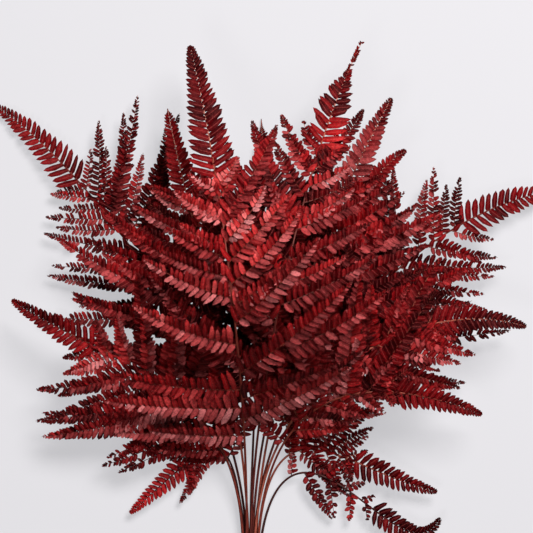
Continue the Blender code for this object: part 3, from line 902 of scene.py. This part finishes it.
# Painted sheen in full on the feathers of these fronds.
SHEENED_FEATHERS = ("frond_back_right",)
RIM_FROM = 0.42
RIM_SPAN = 0.36
RIM_TONE = 0.28


def painted_depth_shade(frond, points):
    """Painted shade: how much darker a leaflet is, for its depth under the top of the heap: none
    down to DEEP_FROM, then evenly more, as if shaded by the fronds above. Towards the rim of
    the heap nothing lies on top, so the darkening eases off; it eases off as well towards the
    fronds' tips and towards the tie. The outermost leaflets are a little darker again."""
    x, y = points.mean(axis=1)[:, :2].T
    depth = dome_height(x, y) * (1.0 - frond.layer / LAST_LAYER)
    share = covered_share(x, y) * (1.0 - BRIGHT_SHARE * eased((y - BRIGHT_FROM) / BRIGHT_SPAN))
    share = share * (1.0 - LOW_BRIGHT_SHARE * eased((LOW_BRIGHT_FROM - y) / LOW_BRIGHT_SPAN))
    rim = RIM_TONE * eased((outward(x, y) - RIM_FROM) / RIM_SPAN)
    return rim + DEEP_PAINTED_SHADE * share * np.clip((depth - DEEP_FROM) / DEEP_SPAN, 0.0, 1.0)


triangles = 0
for number, frond in enumerate(FRONDS):
    source = np.random.default_rng(SEED + 500 + number)
    fillers = filler_pinnae(frond, source)
    pinnae = fillers + pinnae_of(frond)
    blades, tones, painted_sheens = [], [], []
    for place, pinna in enumerate(pinnae):
        points, tone, share = leaflets_of(pinna, frond, source)
        whole = source.uniform(-0.25, 0.25) + SHADED_LAYER_TONE
        # Painted shade that darkens the lower layers, plus each frond's own tone shift.
        whole += (LIT_LAYER_TONE - SHADED_LAYER_TONE) * frond.layer / LAST_LAYER + DYE.get(frond.name, 0.0)
        blades.append(points)
        # Painted shade: darker with depth under the heap, and darker for the filler pinnae, which lie
        # lower.
        whole = whole - painted_depth_shade(frond, points) - FILLER_PAINTED_SHADE * (place < len(fillers))
        # Painted sheen in full on these feathers.
        if not pinna.side and frond.name in SHEENED_FEATHERS:
            share = np.ones_like(share)
        painted_sheens.append(source.uniform(*PAINTED_SHEEN_RANGE) * share)
        # Painted shade: in the top layers the leaflets darken towards the tips, where the key light falls
        # full on them.
        if frond.layer in OPEN_LAYERS:
            crown_shade = eased((points[:, :, 1].mean(axis=1) - CROWN_FROM) / CROWN_SPAN)
            whole = whole - CROWN_PAINTED_SHADE * crown_shade
        tones.append(np.clip(0.25 + 0.50 * tone + whole, 0.0, 1.0))
    blades, tones = np.concatenate(blades), np.concatenate(tones)
    count = len(blades)
    faces = (np.arange(count)[:, None, None] * LEAFLET_POINTS + LEAFLET_FACES).reshape(-1, 4)
    leaves = piece_of(frond.name + "_leaflets", blades.reshape(-1, 3), faces, leaf_finish)
    give_uv(leaves.data, "blade", np.tile(LEAFLET_UV, (count, 1)))
    give_number(leaves.data, "tone", np.repeat(tones, LEAFLET_POINTS))
    give_number(leaves.data, "painted_sheen", np.repeat(np.concatenate(painted_sheens), LEAFLET_POINTS))

    line, radii = stem_line(frond)
    parts = [tube(line, radii, STEM_SIDES, groove=0.22)]
    parts += [tube(*rib_line(pinna, frond), RIB_SIDES) for pinna in pinnae[:-1]]
    points, faces = joined(parts)
    stem = piece_of(frond.name + "_stem", points, faces, stem_finish)
    travelled = [np.repeat(np.linspace(0.0, 1.0, len(part[0]) // sides), sides)
                 for part, sides in zip(parts, [STEM_SIDES] + [RIB_SIDES] * len(parts))]
    turned = [np.tile(np.arange(sides) / sides, len(part[0]) // sides)
              for part, sides in zip(parts, [STEM_SIDES] + [RIB_SIDES] * len(parts))]
    give_uv(stem.data, "tube", np.column_stack([np.concatenate(turned), np.concatenate(travelled)]))
    pale_end = PALE_RACHIS * eased((points[:, 1] - CROWN_FROM) / CROWN_SPAN)
    give_number(stem.data, "tone", source.uniform(0.0, 1.0) + pale_end)
    for piece in (leaves, stem):
        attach(piece, "root")
        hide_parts(frond.name)
    triangles += 2 * len(faces) + 2 * count * len(LEAFLET_FACES)
    print(frond.name, "leaflets:", count)
print("triangles in the fronds, about:", triangles)

# %% [markdown]
# ## The tie
# The stems are bound with plain twine, wound round five times. A rope is a profile carried
# along a helix: here the helix follows the outline round the stems, and the profile has two
# lobes that turn as it goes, as the two plies of real twine do.

# %% Twine
TURNS = 5
TWINE_RADIUS = 0.00088
PLY_TURN = 0.0042


def stem_outline(angle, reach):
    """Point of the outline round all stems in each direction: the stem furthest that way,
    plus the direction times the reach."""
    centres = np.array([
        (tie_place(name)[1], row_height(row)) for row, names in enumerate(ROWS) for name in names
    ])
    out = np.stack([np.cos(angle), np.sin(angle)], axis=1)
    return centres[np.argmax(out @ centres.T, axis=1)] + out * reach


def twine_material():
    """Straw-coloured fibre: fine noise in colour and bump."""
    material, nodes, links, shader = shader_of("plain_twine", 0.85, specular=0.2)
    place = nodes.new("ShaderNodeTexCoord").outputs["Object"]
    fibres = noise_of(nodes, links, place, 1500.0, 4.0)
    ramp = ramp_of(nodes, ((0.30, (0.17, 0.10, 0.05)), (0.70, (0.46, 0.33, 0.20))))
    links.new(fibres, ramp.inputs["Fac"])
    links.new(ramp.outputs["Color"], shader.inputs["Base Color"])
    bump = nodes.new("ShaderNodeBump")
    bump.inputs["Strength"].default_value = 0.6
    bump.inputs["Distance"].default_value = 0.0002
    links.new(fibres, bump.inputs["Height"])
    links.new(bump.outputs["Normal"], shader.inputs["Normal"])
    return material


turn = np.linspace(0.0, 2.0 * math.pi * TURNS, 72 * TURNS + 1) + math.pi / 2
ring = stem_outline(turn, STEM_RADIUS + GAP + TWINE_RADIUS)
smooth = np.array([0.25, 0.5, 0.25])
ring = np.column_stack([np.convolve(np.pad(ring[:, i], 1, mode="edge"), smooth, "valid")
                        for i in range(2)])
ring[:, 1] = np.maximum(ring[:, 1], TWINE_RADIUS)
across = (np.linspace(-0.5, 0.5, len(turn))) * (TIE_WIDTH - 2 * TWINE_RADIUS)
line = np.column_stack([ring[:, 0], across, ring[:, 1]])
twine_sides = 10


def twine(line):
    """Like tube, but each ring is 1 + 0.16 cos(2 (angle - turn)) of the radius, where the
    turn grows with the distance travelled, and the ring stands square to the path."""
    ahead = np.gradient(line, axis=0)
    ahead /= np.linalg.norm(ahead, axis=1, keepdims=True)
    level = np.cross(ahead, (0.0, 1.0, 0.0))
    level /= np.linalg.norm(level, axis=1, keepdims=True)
    over = np.cross(level, ahead)
    travelled = np.concatenate([[0.0], np.cumsum(np.linalg.norm(np.diff(line, axis=0), axis=1))])
    angle = np.arange(twine_sides) * 2.0 * math.pi / twine_sides
    plies = travelled[:, None] * 2.0 * math.pi / PLY_TURN
    size = TWINE_RADIUS * 0.88 * (1.0 + 0.16 * np.cos(2.0 * (angle - plies)))
    rings = (line[:, None] + level[:, None] * (size * np.cos(angle))[..., None]
             + over[:, None] * (size * np.sin(angle))[..., None])
    grid = np.arange(len(line) * twine_sides).reshape(len(line), twine_sides)
    after = np.roll(grid, -1, axis=1)
    corners = grid[:-1], after[:-1], after[1:], grid[1:]
    quads = np.stack(corners, axis=-1).reshape(-1, 4).tolist()
    return rings.reshape(-1, 3), quads + [grid[0][::-1].tolist(), grid[-1].tolist()]


tie = piece_of("tie_twine_turns", *twine(line), twine_material())
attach(tie, "root")
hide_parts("tie")
print("twine points:", len(tie.data.vertices))

# %% [markdown]
# ## Floor, light and camera
# The photograph has an even, pale background and soft light from the camera's side. A large
# pale floor and broad area lights give the same. The camera stands high above, so the fronds
# keep the sizes that the photograph gives them.

# %% Floor
floor_mesh = bpy.data.meshes.new("floor")
floor_mesh.from_pydata([(-6, -6, 0), (6, -6, 0), (6, 6, 0), (-6, 6, 0)], [], [(0, 1, 2, 3)])
floor = bpy.data.objects.new("floor", floor_mesh)
bpy.context.scene.collection.objects.link(floor)
pale, floor_nodes, floor_links, floor_shader = shader_of("pale_floor", 0.9, specular=0.1)
seen = floor_nodes.new("ShaderNodeLightPath").outputs["Is Camera Ray"]
floor_links.new(mixed(floor_nodes, floor_links, "MIX", seen, (0.11, 0.11, 0.11), (0.255, 0.25, 0.26)),
                floor_shader.inputs["Base Color"])
floor_shader.inputs["Emission Color"].default_value = (0.97, 0.96, 1.0, 1.0)
floor_links.new(calculated(floor_nodes, floor_links, "MULTIPLY", seen, 0.525),
                floor_shader.inputs["Emission Strength"])
floor_mesh.materials.append(pale)


# %% Lights
def area_light(name, place, target, size, power, colour=(1.0, 1.0, 1.0)):
    light = bpy.data.lights.new(name, "AREA")
    light.shape = "DISK"
    light.size = size
    light.energy = power
    light.color = colour
    made = bpy.data.objects.new(name, light)
    bpy.context.scene.collection.objects.link(made)
    from mathutils import Vector
    made.location = place
    made.rotation_euler = (Vector(target) - Vector(place)).to_track_quat("-Z", "Y").to_euler()
    return made


area_light("key", (0.75, 1.50, 2.10), (0.0, 0.28, 0.05), 1.1, 84.0, (1.0, 0.985, 0.975))
area_light("fill", (-0.6, -0.7, 2.3), (0.0, 0.22, 0.05), 0.8, 10.5)
world = bpy.data.worlds.new("soft_sky")
world.use_nodes = True
sky = world.node_tree.nodes["Background"]
sky.inputs["Color"].default_value = (0.97, 0.97, 1.0, 1.0)
sky_nodes, sky_links = world.node_tree.nodes, world.node_tree.links
looked_at = sky_nodes.new("ShaderNodeLightPath").outputs["Is Camera Ray"]
sky_links.new(calculated(sky_nodes, sky_links, "MULTIPLY_ADD", looked_at, 0.512, 0.008),
              sky.inputs["Strength"])
bpy.context.scene.world = world
bpy.context.scene.view_settings.view_transform = "Standard"

# %% Camera
CAMERA_PLACE = (0.0155, 0.3085, 2.45)
VIEW_WIDTH = 0.533
VIEW_HEIGHT = 0.050
camera = bpy.data.cameras.new("camera")
camera.sensor_width = 36.0
camera.lens = 36.0 * (CAMERA_PLACE[2] - VIEW_HEIGHT) / VIEW_WIDTH
camera.clip_end = 50.0
viewer = bpy.data.objects.new("camera", camera)
viewer.location = CAMERA_PLACE
bpy.context.scene.collection.objects.link(viewer)
bpy.context.scene.camera = viewer
